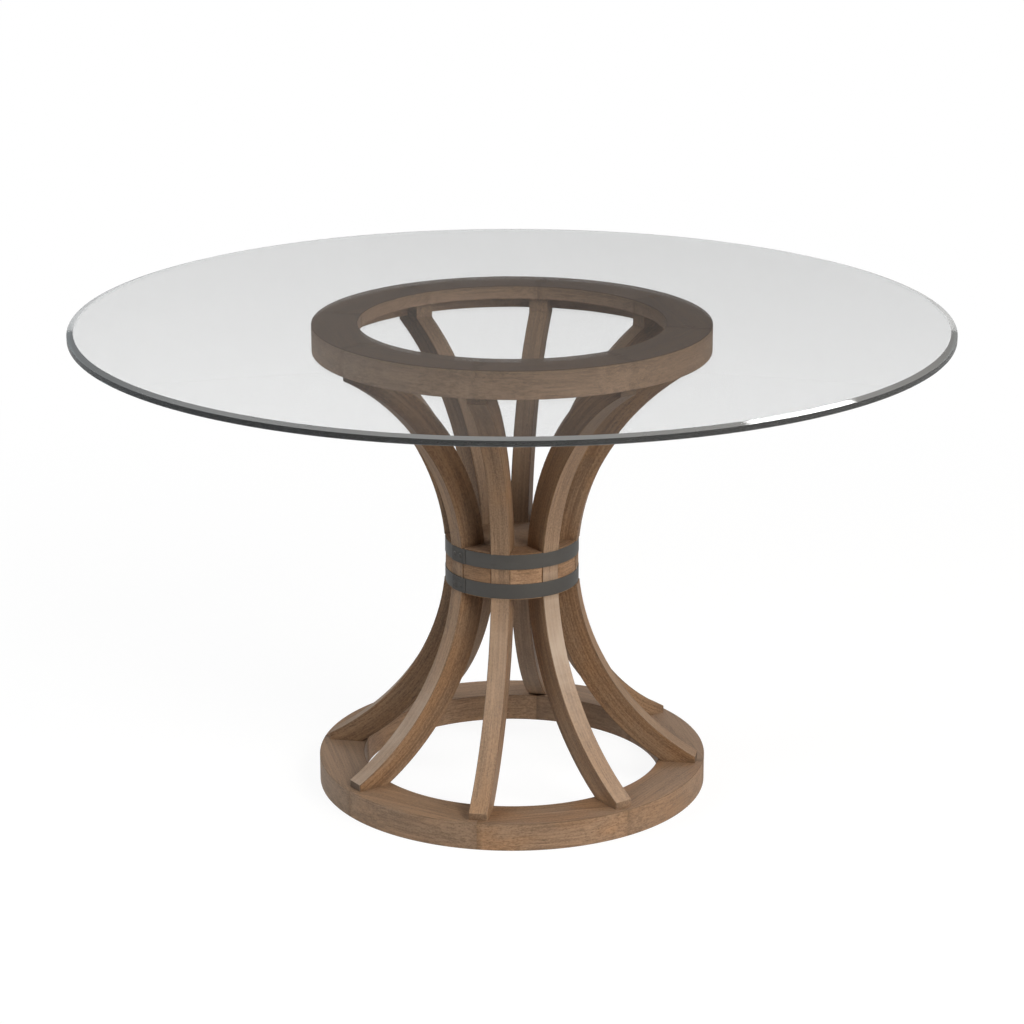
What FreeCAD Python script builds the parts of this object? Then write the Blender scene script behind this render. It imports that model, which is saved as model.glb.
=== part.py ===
import FreeCAD, Part
import math
import os

# Round dining table: a bevelled glass top on an hourglass base of curved ribs.
# Millimetres, +Z up, origin on the floor under the centre of the glass.
# Angles are in degrees from the front (-Y), growing toward the right (+X).

# Glass top
table_height = 762.0
glass_diameter = 1371.6
glass_thickness = 12.0
bevel_width = 10.0
bevel_drop = 3.0
glass_arris = 1.0

# Clear bumper pads under the glass, one over each rib
bumper_width = 18.0
bumper_thickness = 1.5

# Upper and lower ring, each glued up from arc-shaped segments that meet at the ribs
ring_outer_radius = 312.0
ring_width = 72.0
bottom_ring_height = 44.0
top_ring_height = 44.0
cap_thickness = 22.0
apron_thickness = 36.0

# Loose tongues across the joints between segments
spline_length = 40.0
spline_width = 24.0
spline_thickness = 8.0

# Curved ribs
rib_count = 8
first_rib_angle = -10.0
rib_thickness = 30.0
rib_waist_depth = 44.0
waist_outer_radius = 105.0
foot_setback = 11.0
foot_length = 53.0
foot_end_height = 11.0
outer_sweep_angle = 59.7
inner_sweep_angle = 57.9
head_clearance = 0.2

# Hub at the waist: an eight-sided core, and blocks between the ribs
hub_height = 75.0
hub_drop = 1.7
rib_seat_depth = 2.5

# Steel hoops, let in flush and riveted where their ends lap
hoop_height = 24.0
hoop_gap = 24.0
hoop_thickness = 1.5
lap_rib = 7
lap_turn_angle = 2.5
lap_length = 34.0
rivet_pitch = 14.0
rivet_head_diameter = 8.0
rivet_head_height = 1.6
rivet_sides = 12

# Loose tenons from the ribs into the rings
tenon_thickness = 10.0
top_tenon_width = 16.0
top_tenon_length = 34.0
top_tenon_rise = 14.0
foot_tenon_width = 28.0
foot_tenon_length = 34.0
foot_tenon_rise = 14.0

# How far cutting shapes reach past what they cut
overrun = 5.0

# Sizes that follow from the ones above
glass_radius = glass_diameter / 2
glass_underside = table_height - glass_thickness
top_ring_top = glass_underside - bumper_thickness
apron_underside = top_ring_top - top_ring_height
cap_underside = top_ring_top - cap_thickness
ring_inner_radius = ring_outer_radius - ring_width
ring_middle_radius = ring_outer_radius - ring_width / 2
apron_inner_radius = ring_outer_radius - apron_thickness
apron_middle_radius = ring_outer_radius - apron_thickness / 2
rib_step = 360.0 / rib_count
rib_half = rib_thickness / 2
waist_height = (bottom_ring_height + apron_underside) / 2
waist_inner_radius = waist_outer_radius - rib_waist_depth
foot_outer_radius = ring_outer_radius - foot_setback
foot_inner_radius = foot_outer_radius - foot_length
foot_middle_radius = foot_outer_radius - foot_length / 2
head_outer_radius = math.sqrt(apron_inner_radius ** 2 - rib_half ** 2) - head_clearance
core_apothem = waist_inner_radius + rib_seat_depth
hub_middle = waist_height - hub_drop
hub_bottom = hub_middle - hub_height / 2
hoop_outer_radius = waist_outer_radius + hoop_thickness
lap_outer_radius = hoop_outer_radius + hoop_thickness
upper_hoop_bottom = hub_middle + hoop_gap / 2
lower_hoop_bottom = hub_middle - hoop_gap / 2 - hoop_height

ORIGIN = FreeCAD.Vector(0, 0, 0)
UP = FreeCAD.Vector(0, 0, 1)
OUTWARD = FreeCAD.Vector(1, 0, 0)


def rib_angle(index):
    """Angle of a rib, counted from 0."""
    return first_rib_angle + index * rib_step


def bay_angle(index):
    """Angle of the middle of the bay between a rib and the next."""
    return rib_angle(index) + rib_step / 2


def turned(shape, angle):
    """Copy of a shape built along +X, turned to an angle from the front."""
    copy = shape.copy()
    copy.rotate(ORIGIN, UP, angle - 90)
    return copy


def section(points):
    """Flat face in the XZ plane through (radius, height) points."""
    corners = [FreeCAD.Vector(radius, 0, height) for radius, height in points]
    return Part.Face(Part.makePolygon(corners + corners[:1]))


def upright(radius, height, base):
    """Upright cylinder about the table's axis."""
    return Part.makeCylinder(radius, height, FreeCAD.Vector(0, 0, base), UP)


def tube(inner_radius, outer_radius, base, height):
    """Upright ring about the table's axis."""
    outside = upright(outer_radius, height, base)
    return outside.cut(upright(inner_radius, height + 2 * overrun, base - overrun))


def make_glass_top():
    """Round plate with a wide bevel above and a fine arris below."""
    profile = section([
        (0, glass_underside),
        (glass_radius - glass_arris, glass_underside),
        (glass_radius, glass_underside + glass_arris),
        (glass_radius, table_height - bevel_drop),
        (glass_radius - bevel_width, table_height),
        (0, table_height),
    ])
    return profile.revolve(ORIGIN, UP, 360)


def make_glass_bumpers():
    """Square pads that the glass rests on."""
    corner = FreeCAD.Vector(ring_middle_radius - bumper_width / 2, -bumper_width / 2, top_ring_top)
    pad = Part.makeBox(bumper_width, bumper_width, bumper_thickness, corner)
    return Part.makeCompound([turned(pad, rib_angle(index)) for index in range(rib_count)])


def ring_arc(profile, index):
    """One segment of a ring, from its section, between the joints at two ribs."""
    sector = profile.revolve(ORIGIN, UP, rib_step)
    return turned(sector, rib_angle(index))


def make_splines(radius, height):
    """Tongues across the joints of a ring, one per joint."""
    corner = FreeCAD.Vector(radius - spline_width / 2, -spline_length / 2, height - spline_thickness / 2)
    tongue = Part.makeBox(spline_width, spline_length, spline_thickness, corner)
    return [turned(tongue, rib_angle(index)) for index in range(rib_count)]


def make_top_splines():
    """Tongues in the upper ring, within its apron."""
    return make_splines(apron_middle_radius, top_ring_top - top_ring_height / 2)


def make_bottom_splines():
    """Tongues in the lower ring, below the feet's tenons."""
    return make_splines(ring_middle_radius, bottom_ring_height / 4)


def top_ring_section():
    """Rebated section of the upper ring: a flat cap on a narrower apron."""
    return section([
        (apron_inner_radius, apron_underside),
        (ring_outer_radius, apron_underside),
        (ring_outer_radius, top_ring_top),
        (ring_inner_radius, top_ring_top),
        (ring_inner_radius, cap_underside),
        (apron_inner_radius, cap_underside),
    ])


def bottom_ring_section():
    """Plain section of the lower ring."""
    return section([
        (ring_inner_radius, 0),
        (ring_outer_radius, 0),
        (ring_outer_radius, bottom_ring_height),
        (ring_inner_radius, bottom_ring_height),
    ])


def make_top_segments(splines, tenons):
    """Upper ring segments, slotted for their tongues and tenons."""
    profile = top_ring_section()
    cuts = splines + tenons
    return [ring_arc(profile, index).cut(cuts) for index in range(rib_count)]


def make_bottom_segments(splines, tenons):
    """Lower ring segments, slotted for their tongues and tenons."""
    profile = bottom_ring_section()
    cuts = splines + tenons
    return [ring_arc(profile, index).cut(cuts) for index in range(rib_count)]


def flank(waist_radius, end_radius, half_height, sweep_angle):
    """Edge of a rib: an elliptical arc, upright at the waist, flaring alike both ways."""
    sweep = math.radians(sweep_angle)
    radial_axis = (end_radius - waist_radius) / (1 - math.cos(sweep))
    vertical_axis = half_height / math.sin(sweep)
    centre = FreeCAD.Vector(waist_radius + radial_axis, 0, waist_height)
    vertex = centre - OUTWARD * radial_axis
    crown = centre + UP * vertical_axis
    if radial_axis >= vertical_axis:
        ellipse = Part.Ellipse(vertex, crown, centre)
        middle = 0
    else:
        ellipse = Part.Ellipse(crown, vertex, centre)
        middle = math.pi / 2
    return Part.ArcOfEllipse(ellipse, middle - sweep, middle + sweep).toShape()


def rib_face():
    """Side view of a rib: flat foot, two flared edges and a head inside the apron."""
    half_height = waist_height - bottom_ring_height
    outer = flank(waist_outer_radius, foot_outer_radius, half_height - foot_end_height, outer_sweep_angle)
    inner = flank(waist_inner_radius, foot_inner_radius, half_height, inner_sweep_angle)
    foot = [
        (foot_inner_radius, bottom_ring_height),
        (foot_outer_radius, bottom_ring_height),
        (foot_outer_radius, bottom_ring_height + foot_end_height),
    ]
    head = [
        (foot_outer_radius, apron_underside - foot_end_height),
        (foot_outer_radius, apron_underside),
        (head_outer_radius, apron_underside),
        (head_outer_radius, cap_underside),
        (foot_inner_radius, cap_underside),
        (foot_inner_radius, apron_underside),
    ]
    edges = [outer, inner]
    for run in (foot, head):
        corners = [FreeCAD.Vector(radius, 0, height) for radius, height in run]
        edges += [Part.makeLine(start, end) for start, end in zip(corners, corners[1:])]
    return Part.Face(Part.Wire(Part.__sortEdges__(edges)))


def plain_rib():
    """A rib along +X, before its seats and slots are cut."""
    face = rib_face()
    face.translate(FreeCAD.Vector(0, -rib_half, 0))
    return face.extrude(FreeCAD.Vector(0, rib_thickness, 0))


def hoop_seats():
    """Shallow seats that the hoops are let into, cut from the ribs' faces."""
    reach = hoop_outer_radius + overrun
    bases = (upper_hoop_bottom, lower_hoop_bottom)
    return [tube(waist_outer_radius, reach, base, hoop_height) for base in bases]


def make_ribs(core, tenons):
    """Ribs seated on the core and under the hoops, slotted for their tenons."""
    board = plain_rib()
    cuts = [core] + hoop_seats() + tenons
    return [turned(board, rib_angle(index)).cut(cuts) for index in range(rib_count)]


def make_core():
    """Core of the hub, with a flat for each rib."""
    reach = core_apothem / math.cos(math.radians(rib_step / 2))
    corner = FreeCAD.Vector(reach, 0, hub_bottom)
    point = Part.Vertex(corner)
    corners = [turned(point, bay_angle(index)).Point for index in range(rib_count)]
    outline = Part.Face(Part.makePolygon(corners + corners[:1]))
    return outline.extrude(UP * hub_height)


def make_hub_blocks(core):
    """Blocks that fill the hub between neighbouring ribs."""
    drum = upright(waist_outer_radius, hub_height, hub_bottom)
    corner = FreeCAD.Vector(0, -rib_half, hub_bottom - overrun)
    slot = Part.makeBox(hoop_outer_radius, rib_thickness, hub_height + 2 * overrun, corner)
    slots = [turned(slot, rib_angle(index)) for index in range(rib_count)]
    blocks = drum.cut([core] + slots).Solids
    return sorted(blocks, key=block_order)


def block_order(block):
    """Angle of a block after the first rib, for counting the blocks round."""
    centre = block.CenterOfMass
    angle = math.degrees(math.atan2(centre.x, -centre.y))
    return (angle - first_rib_angle) % 360


def lap_middle():
    """Angle of the middle of the hoops' laps."""
    return rib_angle(lap_rib) + lap_turn_angle


def arc_degrees(length, radius):
    """Angle that an arc of a given length takes up."""
    return math.degrees(length / radius)


def make_hoop(base):
    """Strap bent into a hoop, with its end lapped over."""
    lap_section = section([
        (hoop_outer_radius, base),
        (lap_outer_radius, base),
        (lap_outer_radius, base + hoop_height),
        (hoop_outer_radius, base + hoop_height),
    ])
    lap_span = arc_degrees(lap_length, lap_outer_radius)
    lap = turned(lap_section.revolve(ORIGIN, UP, lap_span), lap_middle() - lap_span / 2)
    strap = tube(waist_outer_radius, hoop_outer_radius, base, hoop_height)
    return strap.fuse(lap).removeSplitter()


def rivet_head(height):
    """Low hand-struck head on the lap at a height, along +X."""
    corners = []
    for index in range(rivet_sides):
        turn = 2 * math.pi * index / rivet_sides
        rim = FreeCAD.Vector(0, math.cos(turn), math.sin(turn)) * (rivet_head_diameter / 2)
        corners.append(rim + OUTWARD * lap_outer_radius + UP * height)
    outline = Part.Face(Part.makePolygon(corners + corners[:1]))
    return outline.extrude(OUTWARD * rivet_head_height)


def make_rivets():
    """Rivet heads, a pair on each lap."""
    swing = arc_degrees(rivet_pitch, lap_outer_radius) / 2
    rivets = []
    for base in (upper_hoop_bottom, lower_hoop_bottom):
        head = rivet_head(base + hoop_height / 2)
        rivets += [turned(head, lap_middle() + side * swing) for side in (-1, 1)]
    return rivets


def make_tenons(middle_radius, width, base, length):
    """Upright loose tenons, one for each rib."""
    corner = FreeCAD.Vector(middle_radius - width / 2, -tenon_thickness / 2, base)
    tenon = Part.makeBox(width, tenon_thickness, length, corner)
    return [turned(tenon, rib_angle(index)) for index in range(rib_count)]


def make_top_tenons():
    """Tenons from the ribs' heads up into the cap."""
    middle_radius = (foot_inner_radius + head_outer_radius) / 2
    base = cap_underside + top_tenon_rise - top_tenon_length
    return make_tenons(middle_radius, top_tenon_width, base, top_tenon_length)


def make_foot_tenons():
    """Tenons from the lower ring up into the ribs' feet."""
    base = bottom_ring_height + foot_tenon_rise - foot_tenon_length
    return make_tenons(foot_middle_radius, foot_tenon_width, base, foot_tenon_length)


def numbered(name, shapes):
    """Nodes for repeated pieces, counted from 1."""
    return {f"{name}_{index}": shape for index, shape in enumerate(shapes, 1)}


def make_table():
    """All pieces of the table by node name."""
    core = make_core()
    top_tenons = make_top_tenons()
    foot_tenons = make_foot_tenons()
    top_splines = make_top_splines()
    bottom_splines = make_bottom_splines()
    nodes = {
        "glass_top": make_glass_top(),
        "glass_bumpers": make_glass_bumpers(),
        "top_ring_splines": Part.makeCompound(top_splines),
        "bottom_ring_splines": Part.makeCompound(bottom_splines),
        "top_tenons": Part.makeCompound(top_tenons),
        "foot_tenons": Part.makeCompound(foot_tenons),
        "hub_core": core,
        "upper_hoop": make_hoop(upper_hoop_bottom),
        "lower_hoop": make_hoop(lower_hoop_bottom),
        "hoop_rivets": Part.makeCompound(make_rivets()),
    }
    nodes.update(numbered("top_ring_segment", make_top_segments(top_splines, top_tenons)))
    nodes.update(numbered("bottom_ring_segment", make_bottom_segments(bottom_splines, foot_tenons)))
    nodes.update(numbered("rib", make_ribs(core, top_tenons + foot_tenons)))
    nodes.update(numbered("hub_block", make_hub_blocks(core)))
    return nodes


def main():
    """Write each piece to its own file."""
    os.makedirs("parts", exist_ok=True)
    for name, shape in make_table().items():
        shape.exportStep(f"parts/{name}.step")
        print(name, len(shape.Solids), shape.isValid(), round(shape.Volume))


main()
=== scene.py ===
"""Round dining table: a bevelled glass top on an hourglass base of curved wooden ribs.

Metres, +Z up, origin on the floor under the centre of the glass.
Angles are in degrees from the front (-Y), growing toward the right (+X).
"""
import logging
import math
import random
from contextlib import contextmanager
from dataclasses import dataclass, field
from enum import Enum
from typing import Callable, Dict, Iterator, List, Mapping, Optional, Sequence, Tuple, Union

import bmesh
import bpy
from mathutils import Matrix, Vector


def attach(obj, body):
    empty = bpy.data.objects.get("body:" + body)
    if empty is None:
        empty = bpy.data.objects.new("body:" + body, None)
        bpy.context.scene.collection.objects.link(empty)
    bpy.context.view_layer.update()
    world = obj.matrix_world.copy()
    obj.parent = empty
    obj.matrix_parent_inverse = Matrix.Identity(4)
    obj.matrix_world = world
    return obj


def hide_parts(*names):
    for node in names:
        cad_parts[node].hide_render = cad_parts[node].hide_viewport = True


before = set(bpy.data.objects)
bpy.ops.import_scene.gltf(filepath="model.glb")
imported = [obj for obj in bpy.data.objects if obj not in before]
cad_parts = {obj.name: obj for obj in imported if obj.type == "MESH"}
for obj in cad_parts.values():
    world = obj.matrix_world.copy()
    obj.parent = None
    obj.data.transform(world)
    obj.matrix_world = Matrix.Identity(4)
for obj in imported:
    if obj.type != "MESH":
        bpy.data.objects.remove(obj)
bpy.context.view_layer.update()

LOG = logging.getLogger("dining_table")

# A full turn, and the turn from +X to the front, in degrees.
FULL_TURN = 360.0
FRONT = -90.0
# How near two places are to count as one, and two points to be merged.
NEAR = 1e-4
DOUBLES = 1e-6
# Part of a unit direction along an axis that counts as facing it, and as leaning to it.
FACING = 0.9
LEANING = 0.5
# Least bend of an edge that is rounded or has its crown marked, and widest bend, in degrees, that is shaded
# smooth.
LEAST_BEND = math.radians(20)
SMOOTH_BEND = 40.0
# How far a board's grain is moved to come from another part of the tree.
GRAIN_SHIFT = (1.0, 9.0)

Colour = Tuple[float, float, float]
Point = Tuple[float, float, float]
Pair = Tuple[float, float]
Rule = Callable[[Vector, Vector], float]
GrainRule = Callable[[Vector], Point]
Link = Union["Shade", float, Sequence[float]]

WHITE: Colour = (1.0, 1.0, 1.0)


class Element(Enum):
    """What a selection is made of."""

    VERTEX = "VERT"
    EDGE = "EDGE"
    FACE = "FACE"


class Slot(Enum):
    """Material slot names for the pieces."""

    GLASS = "glass"
    RING = "ring_wood"
    RIB = "rib_wood"
    HUB = "hub_wood"
    STEEL = "hoop_steel"


class Body(Enum):
    """Bodies that pieces ride on."""

    BASE = "base"
    GLASS = "glass"


class Ring(Enum):
    """The two rings of the base."""

    TOP = "top"
    BOTTOM = "bottom"


class Mix(Enum):
    """Ways to mix two colours."""

    PLAIN = "MIX"
    MULTIPLY = "MULTIPLY"


def opaque(colour: Colour) -> Tuple[float, float, float, float]:
    """A colour with full alpha."""
    return (*colour, 1.0)


def everywhere(place: Vector, direction: Vector) -> float:
    """Rule that gives 1 at every place."""
    return 1.0


def nowhere(place: Vector, direction: Vector) -> float:
    """Rule that gives 0 at every place."""
    return 0.0


def limited(value: float) -> float:
    """A number held between 0 and 1."""
    return min(1.0, max(0.0, value))


# Shader sheets


@dataclass(frozen=True)
class Noise:
    """Noise drawn out along an axis, by its repeats per metre along each."""

    stretch: Point
    detail: float = 2.0
    rough: float = 0.5
    bend: float = 0.0


class Shade:
    """A socket that takes part in Python expressions, each adding a Math node."""

    def __init__(self, sheet: "NodeSheet", socket: bpy.types.NodeSocket) -> None:
        """Wrap one output socket of a sheet."""
        self.sheet = sheet
        self.socket = socket

    def _math(self, operation: str, first: Link, second: Link, clamp: bool = False) -> "Shade":
        """Add one Math node."""
        settings = {"operation": operation, "use_clamp": clamp}
        return self.sheet.node("ShaderNodeMath", settings, {0: first, 1: second})

    def __add__(self, other: Link) -> "Shade":
        """Sum."""
        return self._math("ADD", self, other)

    def __radd__(self, other: Link) -> "Shade":
        """Sum, with the number first."""
        return self._math("ADD", other, self)

    def __sub__(self, other: Link) -> "Shade":
        """Difference."""
        return self._math("SUBTRACT", self, other)

    def __rsub__(self, other: Link) -> "Shade":
        """Difference, with the number first."""
        return self._math("SUBTRACT", other, self)

    def __mul__(self, other: Link) -> "Shade":
        """Product."""
        return self._math("MULTIPLY", self, other)

    def __rmul__(self, other: Link) -> "Shade":
        """Product, with the number first."""
        return self._math("MULTIPLY", other, self)

    def capped(self) -> "Shade":
        """The value held between 0 and 1."""
        return self._math("ADD", self, 0.0, clamp=True)

    def spread(self, floor: float, rise: float) -> "Shade":
        """A floor, and the value times a rise on top of it."""
        return floor + rise * self

    def ramp(self, low: float, high: float) -> "Shade":
        """Smooth step from 0 at low to 1 at high."""
        inputs = {"Value": self, "From Min": low, "From Max": high}
        return self.sheet.node("ShaderNodeMapRange", {"interpolation_type": "SMOOTHSTEP"}, inputs)


class NodeSheet:
    """A node tree that is filled in from Python."""

    def __init__(self, tree: bpy.types.NodeTree) -> None:
        """Start with an empty tree."""
        self.tree = tree
        tree.nodes.clear()

    def node(
        self,
        kind: str,
        settings: Optional[Mapping[str, object]] = None,
        inputs: Optional[Mapping[Union[int, str], Link]] = None,
        output: Union[int, str] = 0,
    ) -> Shade:
        """Add a node: its settings first, then the values or links of its sockets.

        Args:
            kind: Blender's node type.
            settings: Attributes to set on the node.
            inputs: Numbers, colours or shades by socket.
            output: Which output to hand back.

        Returns:
            The chosen output.
        """
        made = self.tree.nodes.new(kind)
        for name, value in (settings or {}).items():
            setattr(made, name, value)
        for key, value in (inputs or {}).items():
            if isinstance(value, Shade):
                self.tree.links.new(value.socket, made.inputs[key])
            else:
                made.inputs[key].default_value = value
        return Shade(self, made.outputs[output] if made.outputs else made.inputs[0])

    def attribute(self, name: str, output: str = "Fac") -> Shade:
        """A mesh attribute of the piece."""
        return self.node("ShaderNodeAttribute", {"attribute_name": name}, output=output)

    def place(self) -> Shade:
        """Object coordinates, in metres."""
        return self.node("ShaderNodeTexCoord", output="Object")

    def split(self, vector: Shade) -> Tuple[Shade, Shade, Shade]:
        """The three numbers of a vector."""
        outputs = self.node("ShaderNodeSeparateXYZ", inputs={0: vector}).socket.node.outputs
        return Shade(self, outputs[0]), Shade(self, outputs[1]), Shade(self, outputs[2])

    def noise(self, where: Shade, kind: Noise) -> Shade:
        """Noise with values about 0.5.

        Args:
            where: Coordinates in metres.
            kind: How the noise runs.

        Returns:
            The noise.
        """
        stretched = self.node("ShaderNodeVectorMath", {"operation": "MULTIPLY"}, {0: where, 1: kind.stretch})
        inputs = {
            "Vector": stretched,
            "Scale": 1.0,
            "Detail": kind.detail,
            "Roughness": kind.rough,
            "Distortion": kind.bend,
        }
        return self.node("ShaderNodeTexNoise", {"noise_dimensions": "3D"}, inputs)

    def blend(self, factor: Link, first: Link, second: Link, mix: Mix = Mix.PLAIN) -> Shade:
        """Mix two colours."""
        settings = {"data_type": "RGBA", "blend_type": mix.value, "clamp_factor": True}
        return self.node("ShaderNodeMix", settings, {0: factor, 6: first, 7: second}, output=2)

    def scaled(self, colour: Link, factor: Link) -> Shade:
        """A colour made lighter or darker."""
        return self.node("ShaderNodeVectorMath", {"operation": "SCALE"}, {0: colour, "Scale": factor})

    def bump(self, height: Shade, depth: float, strength: float) -> Shade:
        """Relief that feeds a shader's normal."""
        return self.node("ShaderNodeBump", inputs={"Height": height, "Distance": depth, "Strength": strength})

    def principled(self, inputs: Mapping[str, Link]) -> Shade:
        """The one shader of most finishes."""
        return self.node("ShaderNodeBsdfPrincipled", inputs=inputs)

    def mixed(self, factor: Shade, first: Shade, second: Shade) -> Shade:
        """Mix two shaders."""
        return self.node("ShaderNodeMixShader", inputs={0: factor, 1: first, 2: second})

    def surface(self, shader: Shade) -> None:
        """Send a shader to the surface output."""
        self.node("ShaderNodeOutputMaterial", inputs={"Surface": shader})


def new_sheet(name: str) -> Tuple[bpy.types.Material, NodeSheet]:
    """Start a material.

    Args:
        name: The material's name.

    Returns:
        The material and its empty sheet.
    """
    material = bpy.data.materials.new(name)
    material.use_nodes = True
    return material, NodeSheet(material.node_tree)


# Finishes: a pair of shares is a floor and a rise, and a relief is a depth and a strength


@dataclass(frozen=True)
class WoodFinish:
    """Weathered wood whose grain follows the piece's own grain attribute."""

    name: str
    deep: Colour
    pale: Colour
    warm_tint: Colour = (1.10, 0.97, 0.80)
    pore_colour: Colour = (0.055, 0.034, 0.020)
    # Pale grey of the weathered wash, also laid on the ribs as a painted sheen.
    wash_and_sheen_colour: Colour = (0.400, 0.310, 0.240)
    end_colour: Colour = (0.060, 0.038, 0.024)
    # Dark of the rounded wood edges: painted shade that damps their highlight.
    edge_shade_colour: Colour = (0.110, 0.068, 0.040)
    # Tint of the painted shade that darkens tops and upper parts where less light falls.
    shade_tint: Colour = (0.20, 0.155, 0.10)
    streak: Noise = Noise((7.0, 330.0, 330.0), 5.0, 0.62, 0.15)
    band: Noise = Noise((2.4, 64.0, 64.0), 3.0, 0.55, 0.8)
    pore: Noise = Noise((75.0, 1000.0, 1000.0))
    cloud: Noise = Noise((9.0, 20.0, 20.0), 3.0, 0.5, 0.4)
    speck: Noise = Noise((260.0, 420.0, 420.0), 2.0, 0.6)
    streak_share: float = 0.70
    band_share: float = 0.65
    speck_share: float = 0.65
    contrast: float = 0.24
    warm_span: Pair = (0.35, 0.65)
    pore_span: Pair = (0.57, 0.68)
    pore_streak_span: Pair = (0.64, 0.42)
    pore_strength: float = 0.58
    wash_and_sheen_span: Pair = (0.30, 0.70)
    wash_and_sheen_shares: Pair = (0.55, 0.90)
    wash_and_sheen_streak_shares: Pair = (0.65, 0.60)
    end_shares: Pair = (0.55, 0.45)
    edge_shade_span: Pair = (0.40, 0.62)
    edge_shade_shares: Pair = (0.20, 0.30)
    roughness: float = 0.40
    streak_roughness: float = 0.16
    wear_roughness: float = 0.15
    shade_roughness: float = 0.38
    streak_relief: float = 0.7
    speck_relief: float = 0.2
    relief: Pair = (0.0006, 0.30)

    def make(self) -> bpy.types.Material:
        """Build the material.

        Returns:
            A material that reads the grain, tone, wear_and_edge_shade, wash_and_sheen, cut and painted_shade
            attributes.
        """
        material, sheet = new_sheet(self.name)
        grain = sheet.attribute("grain", "Vector")
        light, grey, warm = sheet.split(sheet.attribute("tone", "Vector"))
        wear_and_edge_shade, wash_and_sheen, cut, painted_shade = (sheet.attribute(name) for name in ("wear_and_edge_shade", "wash_and_sheen", "cut", "painted_shade"))
        kinds = (self.streak, self.band, self.pore, self.cloud, self.speck)
        streak, band, pore, cloud, speck = (sheet.noise(grain, kind) for kind in kinds)
        middle = (self.streak_share + self.band_share + self.speck_share) / 2
        figure = self.streak_share * streak + self.band_share * band + self.speck_share * speck
        figure = figure.ramp(middle - self.contrast, middle + self.contrast)
        colour = sheet.blend(figure, opaque(self.deep), opaque(self.pale))
        warmed = sheet.blend(1.0, colour, opaque(self.warm_tint), Mix.MULTIPLY)
        colour = sheet.blend(warm * cloud.ramp(*self.warm_span), colour, warmed)
        pores = pore.ramp(*self.pore_span) * streak.ramp(*self.pore_streak_span)
        colour = sheet.blend(pores * self.pore_strength, colour, opaque(self.pore_colour))
        # Grey wash, with a painted sheen at one height on the ribs.
        wash_and_sheen_mix = grey * wash_and_sheen * cloud.ramp(*self.wash_and_sheen_span).spread(*self.wash_and_sheen_shares)
        wash_and_sheen_mix = wash_and_sheen_mix * streak.spread(*self.wash_and_sheen_streak_shares)
        colour = sheet.blend(wash_and_sheen_mix.capped(), colour, opaque(self.wash_and_sheen_colour))
        colour = sheet.blend(cut * speck.spread(*self.end_shares), colour, opaque(self.end_colour))
        # Rounded edges painted darker: painted shade over their highlight.
        crowns = wear_and_edge_shade * cloud.ramp(*self.edge_shade_span).spread(*self.edge_shade_shares)
        colour = sheet.blend(crowns, colour, opaque(self.edge_shade_colour))
        # Painted shade: a darker, tinted colour and a rougher finish where the painted_shade attribute is
        # set.
        shaded = sheet.blend(1.0, colour, opaque(self.shade_tint), Mix.MULTIPLY)
        height = streak * self.streak_relief - pores + self.speck_relief * speck
        roughness = self.roughness + self.streak_roughness * streak + self.wear_roughness * wear_and_edge_shade
        shader = sheet.principled({
            "Base Color": sheet.scaled(sheet.blend(painted_shade, colour, shaded), light),
            "Roughness": roughness + self.shade_roughness * painted_shade,
            "Normal": sheet.bump(height, *self.relief),
        })
        sheet.surface(shader)
        return material


RIB_WOOD = WoodFinish("rib_weathered_wood", deep=(0.175, 0.105, 0.060), pale=(0.340, 0.215, 0.128))
HUB_WOOD = WoodFinish("hub_weathered_wood", deep=(0.190, 0.112, 0.064), pale=(0.360, 0.225, 0.135))
RING_WOOD = WoodFinish(
    "ring_weathered_wood",
    deep=(0.201, 0.122, 0.072),
    pale=(0.392, 0.250, 0.153),
    band_share=0.35,
    speck_share=0.42,
    contrast=0.21,
    pore_strength=0.46,
)


@dataclass(frozen=True)
class PlainWoodFinish:
    """Unfinished pale wood of the loose tenons and tongues, on object coordinates."""

    name: str = "tenon_beech"
    deep: Colour = (0.48, 0.33, 0.19)
    pale: Colour = (0.62, 0.46, 0.29)
    fleck: Noise = Noise((500.0, 500.0, 90.0))
    band: Noise = Noise((60.0, 60.0, 8.0), 3.0, 0.5, 0.5)
    fleck_share: float = 0.4
    band_share: float = 0.6
    figure_span: Pair = (0.35, 0.65)
    roughness_shares: Pair = (0.7, 0.1)
    relief: Pair = (0.0003, 0.3)

    def make(self) -> bpy.types.Material:
        """Build the material.

        Returns:
            Pale wood.
        """
        material, sheet = new_sheet(self.name)
        place = sheet.place()
        fleck, band = (sheet.noise(place, kind) for kind in (self.fleck, self.band))
        figure = (self.fleck_share * fleck + self.band_share * band).ramp(*self.figure_span)
        shader = sheet.principled({
            "Base Color": sheet.blend(figure, opaque(self.deep), opaque(self.pale)),
            "Roughness": fleck.spread(*self.roughness_shares),
            "Normal": sheet.bump(fleck, *self.relief),
        })
        sheet.surface(shader)
        return material


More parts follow.
